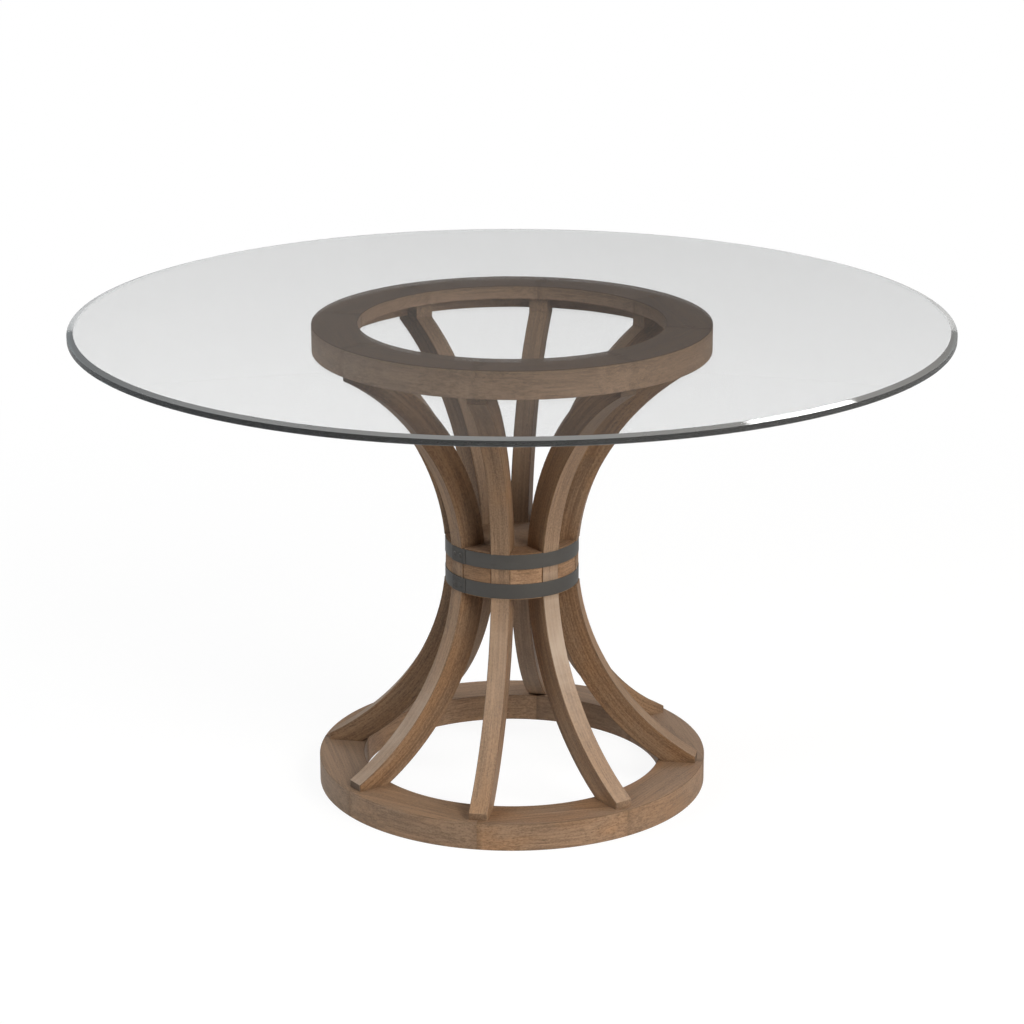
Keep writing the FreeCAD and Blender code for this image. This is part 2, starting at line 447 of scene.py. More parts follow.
@dataclass(frozen=True)
class SteelFinish:
    """Dark satin strap steel with a faint brushing round the hoop and darker patches."""

    name: str = "hoop_dark_steel"
    base: Colour = (0.092, 0.086, 0.079)
    bright: Colour = (0.152, 0.146, 0.138)
    rust: Colour = (0.074, 0.061, 0.050)
    brush: Noise = Noise((6.0, 6.0, 1600.0), 3.0, 0.6)
    patch: Noise = Noise((24.0, 24.0, 40.0), 4.0, 0.6, 0.3)
    brush_share: float = 0.35
    patch_share: float = 0.35
    patch_span: Pair = (0.4, 0.7)
    rust_span: Pair = (0.60, 0.76)
    rust_share: float = 0.6
    wear_share: float = 0.5
    metallic: float = 0.75
    roughness: float = 0.46
    patch_roughness: float = 0.14
    brush_roughness: float = 0.06
    wear_polish: float = 0.12
    patch_relief: float = 0.6
    relief: Pair = (0.0002, 0.25)

    def make(self) -> bpy.types.Material:
        """Build the material.

        Returns:
            A metal that reads the wear attribute.
        """
        material, sheet = new_sheet(self.name)
        place = sheet.place()
        brush, patch = (sheet.noise(place, kind) for kind in (self.brush, self.patch))
        wear_and_edge_shade = sheet.attribute("wear_and_edge_shade")
        shine = self.brush_share * brush + self.patch_share * patch.ramp(*self.patch_span)
        colour = sheet.blend(shine, opaque(self.base), opaque(self.bright))
        colour = sheet.blend(patch.ramp(*self.rust_span) * self.rust_share, colour, opaque(self.rust))
        colour = sheet.blend(wear_and_edge_shade * self.wear_share, colour, opaque(self.bright))
        roughness = self.roughness + self.patch_roughness * patch + self.brush_roughness * brush
        shader = sheet.principled({
            "Base Color": colour,
            "Metallic": self.metallic,
            "Roughness": roughness - self.wear_polish * wear_and_edge_shade,
            "Normal": sheet.bump(brush + self.patch_relief * patch, *self.relief),
        })
        sheet.surface(shader)
        return material


@dataclass(frozen=True)
class GlassFinish:
    """Clear float glass: polished faces, a faintly rough rim with painted light, a tint over long paths."""

    name: str = "table_glass"
    clear: Colour = (0.990, 0.992, 0.990)
    edge_tint: Colour = (0.830, 0.860, 0.865)
    # Greys and shares of the painted reflection on the bevel and the painted light on the upright edge.
    bevel_painted_reflection: Colour = (0.590, 0.602, 0.615)
    edge_painted_light: Colour = (0.250, 0.260, 0.270)
    bevel_reflection_share: float = 0.36
    edge_light_share: float = 0.20
    ripple: Noise = Noise((6.0, 6.0, 60.0))
    ripple_shares: Pair = (0.92, 0.16)
    bevel_roughness: float = 0.05
    painted_grey_roughness: float = 0.5
    ior: float = 1.52
    tint: Colour = (0.55, 0.78, 0.84)
    tint_density: float = 0.8

    def make(self) -> bpy.types.Material:
        """Build the material.

        Returns:
            A material that reads the bevel and edge attributes.
        """
        material, sheet = new_sheet(self.name)
        bevel, edge = (sheet.attribute(name) for name in ("bevel", "edge"))
        ripple = sheet.noise(sheet.place(), self.ripple)
        polished = sheet.principled({
            "Base Color": sheet.blend(edge, opaque(self.clear), opaque(self.edge_tint)),
            "Roughness": self.bevel_roughness * bevel,
            "IOR": self.ior,
            "Transmission Weight": 1.0,
        })
        # Matte grey mixed into the rim, lit by the lamps: painted reflection on the bevel, painted light on
        # the upright edge.
        painted_grey = sheet.principled({
            "Base Color": sheet.blend(edge, opaque(self.bevel_painted_reflection), opaque(self.edge_painted_light)),
            "Roughness": self.painted_grey_roughness,
            "Specular IOR Level": 0.0,
        })
        share = (self.bevel_reflection_share * bevel + self.edge_light_share * edge) * ripple.spread(*self.ripple_shares)
        shader = sheet.mixed(share, polished, painted_grey)
        inputs = {"Color": opaque(self.tint), "Density": self.tint_density}
        depth = sheet.node("ShaderNodeVolumeAbsorption", inputs=inputs)
        sheet.node("ShaderNodeOutputMaterial", inputs={"Surface": shader, "Volume": depth})
        return material


@dataclass(frozen=True)
class BumperFinish:
    """Clear soft pads, slightly milky, with a fine moulded texture."""

    name: str = "bumper_vinyl"
    clear: Colour = (0.30, 0.29, 0.28)
    milky: Colour = (0.42, 0.41, 0.40)
    grain: Noise = Noise((900.0, 900.0, 900.0))
    roughness_shares: Pair = (0.45, 0.20)
    veil_shares: Pair = (0.03, 0.04)
    ior: float = 1.45
    relief: Pair = (0.0001, 0.2)

    def make(self) -> bpy.types.Material:
        """Build the material.

        Returns:
            A nearly clear plastic.
        """
        material, sheet = new_sheet(self.name)
        grain = sheet.noise(sheet.place(), self.grain)
        shader = sheet.principled({
            "Base Color": sheet.blend(grain, opaque(self.clear), opaque(self.milky)),
            "Roughness": grain.spread(*self.roughness_shares),
            "Alpha": grain.spread(*self.veil_shares),
            "IOR": self.ior,
            "Normal": sheet.bump(grain, *self.relief),
        })
        sheet.surface(shader)
        return material


# Bench


def clear_bench() -> None:
    """Leave nothing selected, in object mode."""
    if bpy.context.object is not None and bpy.context.object.mode != "OBJECT":
        bpy.ops.object.mode_set(mode="OBJECT")
    bpy.ops.object.select_all(action="DESELECT")


class Workpiece:
    """A piece on the bench, shaped with the modelling operators."""

    def __init__(self, name: str) -> None:
        """Take up the object that is active, and put its place, turn and scale into its mesh.

        Args:
            name: The piece's name.
        """
        self.shape: bpy.types.Object = bpy.context.active_object
        self.shape.name = name
        self.mesh.name = name
        self.take_up()
        bpy.ops.object.transform_apply(location=True, rotation=True, scale=True)

    @property
    def mesh(self) -> bpy.types.Mesh:
        """The piece's mesh."""
        return self.shape.data

    @classmethod
    def section(cls, name: str, low: Pair, high: Pair) -> "Workpiece":
        """Upright rectangle in the XZ plane.

        Args:
            name: The piece's name.
            low: Radius and height of its nearest, lowest corner.
            high: Radius and height of the opposite corner.

        Returns:
            The flat piece.
        """
        clear_bench()
        centre = ((low[0] + high[0]) / 2, 0, (low[1] + high[1]) / 2)
        bpy.ops.mesh.primitive_plane_add(size=1.0, location=centre, rotation=(math.pi / 2, 0, 0))
        bpy.context.active_object.scale = (high[0] - low[0], high[1] - low[1], 1)
        return cls(name)

    @classmethod
    def drum(cls, name: str, radius: float, span: Pair, sides: int, closed: bool = True) -> "Workpiece":
        """Upright drum about the table's axis.

        Args:
            name: The piece's name.
            radius: Radius of its corners.
            span: Its lowest and highest level.
            sides: Number of its sides.
            closed: Whether it has a floor and a lid.

        Returns:
            The drum.
        """
        clear_bench()
        low, high = span
        bpy.ops.mesh.primitive_cylinder_add(
            vertices=sides,
            radius=radius,
            depth=high - low,
            end_fill_type="NGON" if closed else "NOTHING",
            location=(0, 0, (low + high) / 2),
        )
        return cls(name)

    @classmethod
    def oval(cls, name: str, centre: Pair, axes: Pair, sides: int) -> "Workpiece":
        """Outline of an ellipse in the XZ plane.

        Args:
            name: The piece's name.
            centre: Radius and height of the centre.
            axes: Radial and upright half axis.
            sides: Number of its edges.

        Returns:
            The line.
        """
        clear_bench()
        place, turn = (centre[0], 0, centre[1]), (math.pi / 2, 0, 0)
        bpy.ops.mesh.primitive_circle_add(vertices=sides, radius=1.0, location=place, rotation=turn)
        bpy.context.active_object.scale = (*axes, 1)
        return cls(name)

    @classmethod
    def ball(cls, name: str, centre: Point, axes: Point, sides: int) -> "Workpiece":
        """Ellipsoid whose poles lie along X.

        Args:
            name: The piece's name.
            centre: Its centre.
            axes: Its half axes along X, Y and Z.
            sides: Number of sides round the poles.

        Returns:
            The solid.
        """
        clear_bench()
        bpy.ops.mesh.primitive_uv_sphere_add(
            segments=sides, ring_count=sides // 2, radius=1.0, location=centre, rotation=(0, math.pi / 2, 0)
        )
        bpy.context.active_object.scale = axes[::-1]
        return cls(name)

    def take_up(self) -> None:
        """Make this the one selected object."""
        clear_bench()
        self.shape.select_set(True)
        bpy.context.view_layer.objects.active = self.shape

    @contextmanager
    def shaping(self) -> Iterator[None]:
        """Edit mode with everything selected, left again at the end.

        Yields:
            Nothing, once edit mode is on.
        """
        self.take_up()
        bpy.ops.object.mode_set(mode="EDIT")
        bpy.ops.mesh.select_mode(type=Element.VERTEX.value)
        bpy.ops.mesh.select_all(action="SELECT")
        yield
        bpy.ops.object.mode_set(mode="OBJECT")

    def pick(self, element: Element, test: Callable[[Vector, Vector], bool]) -> None:
        """Select elements by their middle and their normal, or direction for an edge.

        Args:
            element: What to select.
            test: Says whether an element is selected.
        """
        bpy.ops.mesh.select_mode(type=element.value)
        bpy.ops.mesh.select_all(action="DESELECT")
        work = bmesh.from_edit_mesh(self.mesh)
        if element is Element.VERTEX:
            for vertex in work.verts:
                vertex.select_set(test(vertex.co, vertex.normal))
        elif element is Element.EDGE:
            for edge in work.edges:
                edge.select_set(test(*self.line(edge)))
        else:
            for face in work.faces:
                face.select_set(test(face.calc_center_median(), face.normal))
        work.select_flush_mode()
        bmesh.update_edit_mesh(self.mesh)

    @staticmethod
    def line(edge: bmesh.types.BMEdge) -> Tuple[Vector, Vector]:
        """Middle and direction of an edge."""
        start, end = (vertex.co for vertex in edge.verts)
        return (start + end) / 2, end - start

    def extrude(self, shift: Point) -> None:
        """Draw out what is selected."""
        bpy.ops.mesh.extrude_region_move(TRANSFORM_OT_translate={"value": shift})

    def trim(self, point: Point, normal: Point, fill: bool = True) -> None:
        """Cut off what lies beyond a plane, on the side that its normal points to."""
        with self.shaping():
            bpy.ops.mesh.bisect(plane_co=point, plane_no=normal, use_fill=fill, clear_outer=True)

    def tidy(self) -> None:
        """Merge doubles and turn the faces outwards."""
        with self.shaping():
            bpy.ops.mesh.remove_doubles(threshold=DOUBLES)
            bpy.ops.mesh.normals_make_consistent(inside=False)

    def modify(self, kind: str, **settings: object) -> None:
        """Add a modifier and apply it.

        Args:
            kind: Blender's modifier type.
            settings: The modifier's settings.
        """
        self.take_up()
        modifier = self.shape.modifiers.new(kind.lower(), kind)
        for name, value in settings.items():
            setattr(modifier, name, value)
        bpy.ops.object.modifier_apply(modifier=modifier.name)

    def spin(self, degrees: float, steps: int) -> None:
        """Turn a section round the table's axis into a closed bar centred on +X.

        Args:
            degrees: Angle from end to end.
            steps: Facets along it.
        """
        with self.shaping():
            bpy.ops.mesh.spin(steps=steps, angle=math.radians(degrees), center=(0, 0, 0), axis=(0, 0, 1))
        self.tidy()
        middle = sum((vertex.co for vertex in self.mesh.vertices), Vector()) / len(self.mesh.vertices)
        self.turn(-math.degrees(math.atan2(middle.y, middle.x)))

    def turn(self, degrees: float) -> None:
        """Turn the mesh about the table's axis."""
        self.mesh.transform(Matrix.Rotation(math.radians(degrees), 4, "Z"))

    def join(self, *others: "Workpiece") -> None:
        """Take other pieces into this one.

        Args:
            others: Pieces that become part of it.
        """
        self.take_up()
        for other in others:
            other.shape.select_set(True)
        bpy.ops.object.join()

    def cut(self, tool: "Workpiece") -> None:
        """Cut away another piece's volume, and put that piece away."""
        self.modify("BOOLEAN", operation="DIFFERENCE", solver="EXACT", object=tool.shape)
        tool.put_away()

    def round_edges(self, width: float, segments: int, rule: Rule = everywhere) -> None:
        """Round the edges that the faces bend at.

        Args:
            width: Width of a full rounding.
            segments: Facets across it.
            rule: Share of the width, from an edge's middle and direction.
        """
        work = bmesh.new()
        work.from_mesh(self.mesh)
        bent = [edge.calc_face_angle(0.0) > LEAST_BEND for edge in work.edges]
        shares = [rule(*self.line(edge)) if bend else 0.0 for edge, bend in zip(work.edges, bent)]
        work.free()
        self.store("bevel_weight_edge", "EDGE", shares)
        self.modify("BEVEL", width=width, segments=segments, limit_method="WEIGHT", use_clamp_overlap=False)

    def store(self, name: str, domain: str, values: Sequence[float]) -> None:
        """Keep a number for each point, edge or face of the mesh.

        Args:
            name: Name of the attribute.
            domain: POINT, EDGE or FACE.
            values: The numbers, in the mesh's order.
        """
        attributes = self.mesh.attributes
        attribute = attributes.get(name) or attributes.new(name, "FLOAT", domain)
        attribute.data.foreach_set("value", values)

    def mark_crowns(self) -> None:
        """Note which points lie on the crown of a rounded edge: rubbed bright on steel, painted shade on
        wood.
        """
        work = bmesh.new()
        work.from_mesh(self.mesh)
        crowns = []
        for vertex in work.verts:
            bend = max((edge.calc_face_angle(0.0) for edge in vertex.link_edges), default=0.0)
            crowns.append(1.0 if bend > LEAST_BEND else 0.0)
        work.free()
        self.store("wear_and_edge_shade", "POINT", crowns)

    def mark_faces(self, name: str, rule: Rule) -> None:
        """Give each face a value from its centre and normal."""
        self.store(name, "FACE", [rule(face.center, face.normal) for face in self.mesh.polygons])

    def mark_points(self, name: str, rule: Rule) -> None:
        """Give each point a value from its place and normal."""
        self.store(name, "POINT", [rule(point.co, point.normal) for point in self.mesh.vertices])

    def lay_wood(
        self, grain: GrainRule, wash_and_sheen: Rule = nowhere, cut: Rule = nowhere, painted_shade: Rule = nowhere
    ) -> None:
        """Note what a wood finish reads from a finished shape, and shade it smooth.

        Args:
            grain: Where a point lies in its board: along, across and through the grain.
            wash_and_sheen: Grey wash on a face, and painted sheen.
            cut: End grain on a face.
            painted_shade: Painted shade at a point, how far its colour is darkened where less light falls.
        """
        self.mark_crowns()
        self.mark_faces("wash_and_sheen", wash_and_sheen)
        self.mark_faces("cut", cut)
        self.mark_points("painted_shade", painted_shade)
        numbers = [number for point in self.mesh.vertices for number in grain(point.co)]
        self.mesh.attributes.new("grain", "FLOAT_VECTOR", "POINT").data.foreach_set("vector", numbers)
        self.smooth()

    def smooth(self, degrees: float = SMOOTH_BEND) -> None:
        """Shade smoothly across gentle bends, and keep flat faces flat.

        Args:
            degrees: Widest bend that is smooth.
        """
        self.take_up()
        bpy.ops.object.shade_smooth_by_angle(angle=math.radians(degrees))
        self.modify("WEIGHTED_NORMAL", keep_sharp=True)

    def copy(self, name: str, degrees: float) -> "Workpiece":
        """Make a copy with a mesh of its own, turned about the table's axis.

        Args:
            name: The copy's name.
            degrees: How far it is turned.

        Returns:
            The copy.
        """
        clear_bench()
        twin = self.shape.copy()
        twin.data = self.mesh.copy()
        bpy.context.collection.objects.link(twin)
        bpy.context.view_layer.objects.active = twin
        piece = Workpiece(name)
        piece.turn(degrees)
        return piece

    def put_away(self) -> None:
        """Remove a tool, or a pattern that has been copied."""
        bpy.data.objects.remove(self.shape)

    def hand_over(self, node: str, slot: Slot, body: Body, finish: bpy.types.Material) -> None:
        """Dress the piece and set it in the frame in place of a node.

        Args:
            node: The node that it stands for.
            slot: Not used.
            body: What it rides on.
            finish: Its material.
        """
        self.mesh.materials.clear()
        self.mesh.materials.append(finish)
        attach(self.shape, body.value)
        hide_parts(node)
        LOG.info("%s stands for %s with %d faces", self.shape.name, node, len(self.mesh.polygons))


@dataclass(frozen=True)
class Tone:
    """How one piece of wood differs from its neighbours, in its own colour and in painted light and shade."""

    # Lightness, set to how bright each piece shows: partly the wood's own tone, partly painted light and
    # shade.
    light: float = 1.0
    grey: float = 0.0
    warm: float = 0.5
    end: float = 1.0
    # Depth of the piece's painted shade against its neighbours.
    top: float = 1.0

    def stain(self, piece: Workpiece, seed: int) -> None:
        """Store the tone on a piece and move its grain to another part of the tree.

        Args:
            piece: Piece with the attributes of wood.
            seed: Which part of the tree it comes from.
        """
        mesh = piece.mesh
        tone = mesh.attributes.new("tone", "FLOAT_VECTOR", "POINT")
        tone.data.foreach_set("vector", [self.light, self.grey, self.warm] * len(mesh.vertices))
        for name, share in (("cut", self.end), ("painted_shade", self.top)):
            marks = mesh.attributes[name].data
            marks.foreach_set("value", [share * mark.value for mark in marks])
        chance = random.Random(seed)
        shift = [chance.uniform(*GRAIN_SHIFT) for _ in range(3)]
        grain = mesh.attributes["grain"].data
        moved = [number + step for place in grain for number, step in zip(place.vector, shift)]
        grain.foreach_set("vector", moved)


# Sub-assemblies


@dataclass(frozen=True)
class Layout:
    """Sizes that several sub-assemblies share."""

    rib_count: int = 8
    first_rib_angle: float = -10.0
    rib_thickness: float = 0.030
    waist_radius: float = 0.105
    ring_outer: float = 0.312
    ring_inner: float = 0.240
    lower_ring_top: float = 0.044
    apron_underside: float = 0.7045
    cap_underside: float = 0.7265
    upper_ring_top: float = 0.7485
    hub_middle: float = 0.37255
    hub_height: float = 0.075
    core_apothem: float = 0.0635
    hoop_height: float = 0.024
    hoop_gap: float = 0.024
    hoop_sides: int = 192

    @property
    def step(self) -> float:
        """Angle from one rib to the next."""
        return FULL_TURN / self.rib_count

    def rib_angle(self, index: int) -> float:
        """Angle of a rib, counted from 0, as a turn from +X."""
        return self.first_rib_angle + index * self.step + FRONT

    def bay_angle(self, index: int) -> float:
        """Angle of the middle of the bay after a rib, as a turn from +X."""
        return self.rib_angle(index) + self.step / 2

    @property
    def hoop_spans(self) -> Tuple[Pair, Pair]:
        """Lowest and highest level of the upper and the lower hoop.

        Returns:
            The two pairs of heights.
        """
        near = self.hoop_gap / 2
        far = near + self.hoop_height
        middle = self.hub_middle
        return (middle + near, middle + far), (middle - far, middle - near)


@dataclass
class GlassTop:
    """Round plate with a wide bevel above and a fine arris below."""

    radius: float = 0.6856
    underside: float = 0.750
    top: float = 0.762
    bevel_width: float = 0.010
    bevel_drop: float = 0.003
    arris: float = 0.001
    edge_ease: float = 0.0004
    ease_segments: int = 2
    ease_bend: float = 12.0
    smooth_bend: float = 10.0
    level: float = 0.9999
    sides: int = 256

    def build(self, finish: bpy.types.Material) -> bpy.types.Object:
        """Shape the plate and set it on its body.

        Args:
            finish: The glass.

        Returns:
            The plate.
        """
        plate = Workpiece.drum("table_glass", self.radius, (self.underside, self.top), self.sides)
        self.slope_rim(plate, 1, self.bevel_width, self.bevel_drop)
        self.slope_rim(plate, -1, self.arris, self.arris)
        plate.tidy()
        bend = math.radians(self.ease_bend)
        plate.modify(
            "BEVEL", width=self.edge_ease, segments=self.ease_segments, limit_method="ANGLE", angle_limit=bend
        )
        plate.mark_faces("bevel", self.rim_faces)
        plate.mark_faces("edge", lambda centre, normal: 1.0 if abs(normal.z) < LEANING else 0.0)
        plate.smooth(self.smooth_bend)
        plate.hand_over("glass_top", Slot.GLASS, Body.GLASS, finish)
        plate.shape.visible_shadow = False
        plate.shape.visible_diffuse = False
        return plate.shape

    def slope_rim(self, plate: Workpiece, side: int, width: float, drop: float) -> None:
        """Slope the rim of one face of the plate.

        Args:
            plate: The plate.
            side: 1 for the upper face, -1 for the lower.
            width: How far in the slope starts.
            drop: How far the rim moves toward the other face.
        """
        with plate.shaping():
            plate.pick(Element.FACE, lambda centre, normal: side * normal.z > FACING)
            bpy.ops.mesh.inset(thickness=width)
        level = self.top if side > 0 else self.underside
        reach = self.radius - width / 2
        with plate.shaping():
            plate.pick(
                Element.VERTEX, lambda place, _: abs(place.z - level) < NEAR and place.xy.length > reach
            )
            bpy.ops.transform.translate(value=(0, 0, -side * drop))

    def rim_faces(self, centre: Vector, normal: Vector) -> float:
        """1 on the bevel and the arris, 0 on the flats and the upright edge."""
        outside = centre.xy.length > self.radius - self.bevel_width - self.edge_ease
        return 1.0 if outside and LEANING < abs(normal.z) < self.level else 0.0


@dataclass
class RingPair:
    """Upper and lower ring, each of segments that meet at the ribs."""

    layout: Layout
    apron_inner: float = 0.276
    edge_round: float = 0.0012
    joint_share: float = 0.08
    arc_steps: int = 24
    round_segments: int = 3
    # Painted shade on faces that look up, deepest on the upper ring under the glass.
    shade_slope: float = 2.0
    painted_shading: Dict[Ring, float] = field(default_factory=lambda: {Ring.TOP: 0.86, Ring.BOTTOM: 0.22})
    seeds: Dict[Ring, int] = field(default_factory=lambda: {Ring.TOP: 300, Ring.BOTTOM: 600})
    tones: Dict[Ring, List[Tone]] = field(default_factory=lambda: {
        Ring.TOP: [
            Tone(0.90, 0.20, 0.3),
            Tone(0.84, 0.18, 0.3),
            Tone(0.80, 0.12, 0.4),
            Tone(0.86, 0.18, 0.4),
            Tone(1.00, 0.20, 0.3),
            Tone(1.00, 0.20, 0.3),
            Tone(0.95, 0.25, 0.2),
            Tone(0.96, 0.25, 0.2),
        ],
        Ring.BOTTOM: [
            Tone(1.19, 0.03, 0.9, top=2.10),
            Tone(0.97, 0.08, 0.8, top=0.65),
            Tone(1.02, 0.25, 0.4),
            Tone(0.96, 0.20, 0.4),
            Tone(1.44, 0.10, 0.4, top=1.70),
            Tone(1.38, 0.10, 0.6, top=1.40),
            Tone(0.93, 0.20, 0.3),
            Tone(1.00, 0.12, 0.6, top=0.80),
        ],
    })

    def build(self, finish: bpy.types.Material) -> None:
        """Shape one segment of each ring and set out its copies."""
        self.set_out(self.lower_section(), Ring.BOTTOM, finish)
        self.set_out(self.upper_section(), Ring.TOP, finish)

    def lower_section(self) -> Workpiece:
        """Plain section of the lower ring."""
        high = (self.layout.ring_outer, self.layout.lower_ring_top)
        return Workpiece.section("lower_segment", (self.layout.ring_inner, 0.0), high)

    def upper_section(self) -> Workpiece:
        """Section of the upper ring: a flat cap on a narrower apron.

        Returns:
            The flat section.
        """
        layout = self.layout
        low, high = (layout.ring_inner, layout.cap_underside), (layout.ring_outer, layout.upper_ring_top)
        bar = Workpiece.section("upper_segment", low, high)
        with bar.shaping():
            bpy.ops.mesh.bisect(plane_co=(self.apron_inner, 0, 0), plane_no=(1, 0, 0))
        level, inner = layout.cap_underside + NEAR, self.apron_inner + NEAR
        with bar.shaping():
            bar.pick(Element.EDGE, lambda middle, _: middle.z < level and middle.x > inner)
            bar.extrude((0, 0, layout.apron_underside - layout.cap_underside))
        return bar

    def rounding(self, middle: Vector, direction: Vector) -> float:
        """Full rounding along the ring, hardly any at the joints."""
        slope = math.tan(math.radians(self.layout.step / 2))
        return self.joint_share if abs(middle.y) > slope * middle.x - NEAR else 1.0

    def set_out(self, pattern: Workpiece, ring: Ring, finish: bpy.types.Material) -> None:
        """Spin a section into a segment, and copy that round its ring.

        Args:
            pattern: The flat section.
            ring: Which ring it belongs to.
            finish: The wood.
        """
        pattern.spin(self.layout.step, self.arc_steps)
        pattern.round_edges(self.edge_round, self.round_segments, self.rounding)
        pattern.lay_wood(
            lambda place: (place.y, place.x, place.z),
            wash_and_sheen=everywhere,
            painted_shade=lambda place, normal: self.painted_shading[ring] * limited(self.shade_slope * normal.z),
        )
        for index, tone in enumerate(self.tones[ring]):
            piece = pattern.copy(f"{ring.value}_ring_part_{index + 1}", self.layout.bay_angle(index))
            tone.stain(piece, self.seeds[ring] + index)
            piece.hand_over(f"{ring.value}_ring_segment_{index + 1}", Slot.RING, Body.BASE, finish)
        pattern.put_away()


@dataclass
class RibSet:
    """Curved ribs, upright at the waist and flaring into both rings."""

    layout: Layout
    waist_depth: float = 0.044
    foot_outer: float = 0.301
    foot_inner: float = 0.248
    foot_end: float = 0.011
    head_outer: float = 0.27539
    outer_sweep: float = 59.7
    inner_sweep: float = 57.9
    edge_round: float = 0.0016
    joint_share: float = 0.08
    end_share: float = 0.45
    round_segments: int = 3
    oval_sides: int = 156
    seat_reach: float = 0.010
    end_facing: float = 0.95
    end_reach: float = 0.002
    # Painted shade that deepens with height: on a rib's sides from lower down than on its curved edges.
    shade_span: Pair = (0.26, 0.44)
    side_shade_span: Pair = (0.10, 0.40)
    shade_depth: float = 0.26
    # Heights and reach of a painted sheen on each rib's outer edge, where a lamp's highlight falls, over a
    # grey wash.
    sheen_heights: Tuple[float, ...] = (0.25, 0.27, 0.12, 0.20, 0.20, 0.20, 0.10, 0.09)
    sheen_reach: float = 0.09
    wash_floor: float = 0.20
    inner_wash: float = 0.60
    first_seed: int = 10
    tones: List[Tone] = field(default_factory=lambda: [
        Tone(1.18, 0.42, 0.8, 0.15),
        Tone(1.16, 0.97, 0.6, 0.10),
        Tone(1.08, 0.30, 0.8),
        Tone(0.95, 0.20, 0.5),
        Tone(1.10, 0.40, 0.3),
        Tone(1.10, 0.40, 0.3),
        Tone(1.06, 0.40, 0.5),
        Tone(1.12, 0.62, 0.7),
    ])

    @property
    def waist_height(self) -> float:
        """Height of the narrowest place."""
        return (self.layout.lower_ring_top + self.layout.apron_underside) / 2

    @property
    def half_height(self) -> float:
        """Height from the lower ring to the waist."""
        return self.waist_height - self.layout.lower_ring_top

    @property
    def foot_middle(self) -> float:
        """Radius of the middle of a foot."""
        return (self.foot_outer + self.foot_inner) / 2

    def oval(self, waist: float, end: float, half_height: float, sweep: float) -> Point:
        """Ellipse of a rib's edge.

        Args:
            waist: Radius at the waist.
            end: Radius at the foot.
            half_height: Height from the waist to the arc's end.
            sweep: Angle of the arc's end.

        Returns:
            The centre's radius, and the radial and the upright half axis.
        """
        turn = math.radians(sweep)
        radial = (end - waist) / (1 - math.cos(turn))
        return waist + radial, radial, half_height / math.sin(turn)

    def flank(self, name: str, waist: float, end: float, half_height: float, sweep: float) -> Workpiece:
        """Line of one edge, trimmed from an ellipse.

        Args:
            name: The line's name.
            waist: Radius at the waist.
            end: Radius at the foot.
            half_height: Height from the waist to the arc's end.
            sweep: Angle of the arc's end.

        Returns:
            The line.
        """
        centre, radial, upright = self.oval(waist, end, half_height, sweep)
        line = Workpiece.oval(name, (centre, self.waist_height), (radial, upright), self.oval_sides)
        line.trim((centre, 0, 0), (1, 0, 0), fill=False)
        line.trim((0, 0, self.waist_height + half_height), (0, 0, 1), fill=False)
        line.trim((0, 0, self.waist_height - half_height), (0, 0, -1), fill=False)
        return line

    def pattern(self) -> Workpiece:
        """Shape one rib along +X, with its seats for the hoops.

        Returns:
            The rib.
        """
        layout, half = self.layout, self.half_height
        rib = self.flank("rib", layout.waist_radius, self.foot_outer, half - self.foot_end, self.outer_sweep)
        inner_waist = layout.waist_radius - self.waist_depth
        rib.join(self.flank("inner_edge", inner_waist, self.foot_inner, half, self.inner_sweep))
        with rib.shaping():
            bpy.ops.mesh.bridge_edge_loops()
        self.shape_ends(rib)
        rib.tidy()
        rib.modify("SOLIDIFY", thickness=layout.rib_thickness, offset=0.0)
        rib.tidy()
        rib.round_edges(self.edge_round, self.round_segments, self.rounding)
        reach = layout.waist_radius + self.seat_reach
        for span in layout.hoop_spans:
            seat = Workpiece.drum("seat", reach, span, layout.hoop_sides, closed=False)
            seat.modify("SOLIDIFY", thickness=self.seat_reach, offset=-1.0)
            rib.cut(seat)
        rib.lay_wood(self.grain, cut=self.end_cut, painted_shade=self.painted_shading)
        return rib

    def shape_ends(self, board: Workpiece) -> None:
        """Square off the foot, and draw the head up inside the apron.

        Args:
            board: The flat board between a rib's two curves.
        """
        layout, middle = self.layout, self.foot_middle

        def at(height: float) -> Callable[[Vector, Vector], bool]:
            """Test for what lies midway across an end at a height."""
            return lambda place, _: abs(place.x - middle) < NEAR and abs(place.z - height) < NEAR

        for height, lean in ((layout.lower_ring_top, 1), (layout.apron_underside, -1)):
            with board.shaping():
                board.pick(Element.EDGE, at(height + lean * self.foot_end / 2))
                board.extrude((0, 0, -lean * self.foot_end))
                bpy.ops.transform.resize(value=(1, 1, 0), center_override=(0, 0, height))
        with board.shaping():
            board.pick(Element.EDGE, at(layout.apron_underside))
            bpy.ops.mesh.subdivide(number_cuts=1)
        with board.shaping():
            board.pick(Element.VERTEX, at(layout.apron_underside))
            bpy.ops.transform.translate(value=(self.head_outer - middle, 0, 0))
        level = layout.apron_underside
        with board.shaping():
            board.pick(
                Element.EDGE, lambda place, _: place.x < self.head_outer and abs(place.z - level) < NEAR
            )
            board.extrude((0, 0, layout.cap_underside - level))

    def rounding(self, middle: Vector, direction: Vector) -> float:
        """Full rounding along the curves, hardly any where the rib meets a ring.

        Args:
            middle: Middle of an edge.
            direction: Its direction.

        Returns:
            Share of the rounding.
        """
        layout = self.layout
        if middle.z < layout.lower_ring_top + NEAR or middle.z > layout.apron_underside - NEAR:
            return self.joint_share
        return self.end_share if abs(direction.normalized().y) > FACING else 1.0

